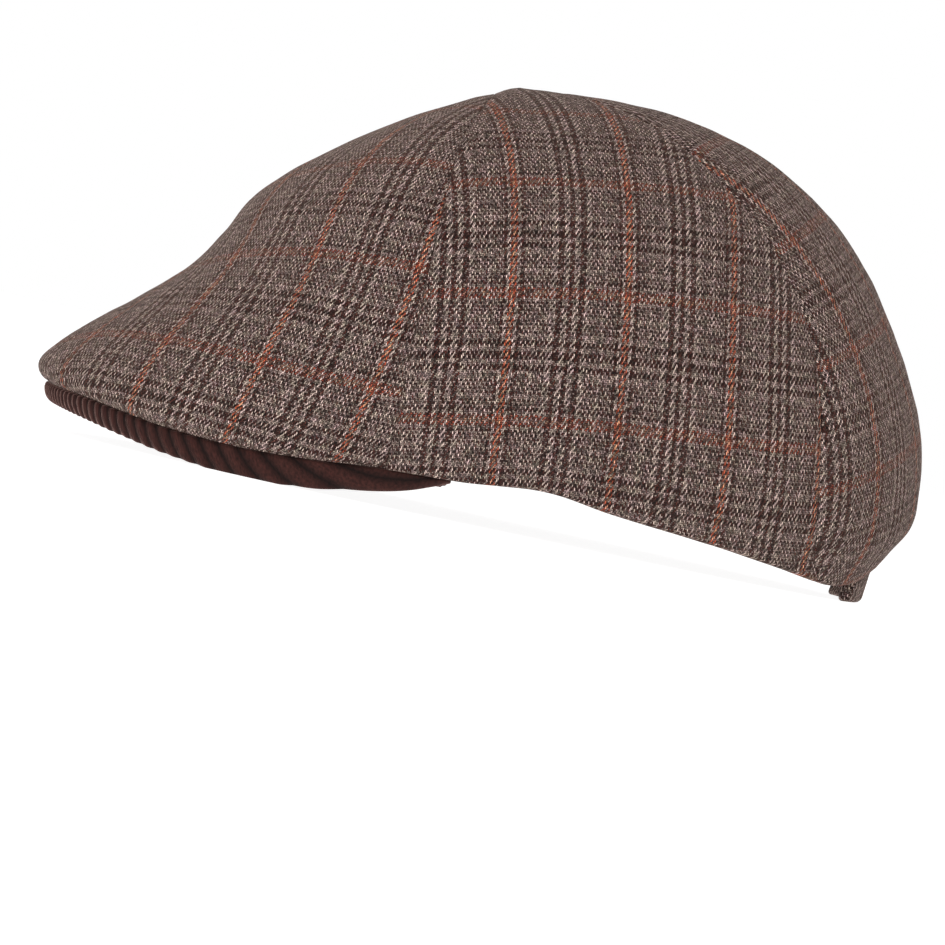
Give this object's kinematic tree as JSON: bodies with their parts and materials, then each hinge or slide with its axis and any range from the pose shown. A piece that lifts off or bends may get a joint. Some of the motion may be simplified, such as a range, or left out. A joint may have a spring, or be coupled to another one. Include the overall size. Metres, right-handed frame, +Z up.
{
  "type": "flat cap",
  "caption": "Soft flat cap of checked wool cloth in shaped panels, with a stiff peak under the cloth, corduroy on the peak's underside and an open head hollow.",
  "frame": {"origin": "middle of the cap's box, on the surface that the cap rests on", "axes": "+Z up, the peak points along -Y, the wearer's left is +X"},
  "size_m": [0.1954, 0.2752, 0.1354],
  "materials": {
    "check_cloth": "brown and beige wool twill in a glen check with thin rust lines",
    "corduroy": "dark brown cotton corduroy"
  },
  "bodies": {
    "root": {"front_panel_left": "check_cloth", "front_panel_right": "check_cloth", "side_panel_left": "check_cloth", "side_panel_right": "check_cloth", "back_panel_left": "check_cloth", "back_panel_right": "check_cloth", "back_band": "check_cloth", "peak_underside": "corduroy"}
  },
  "joints": []
}
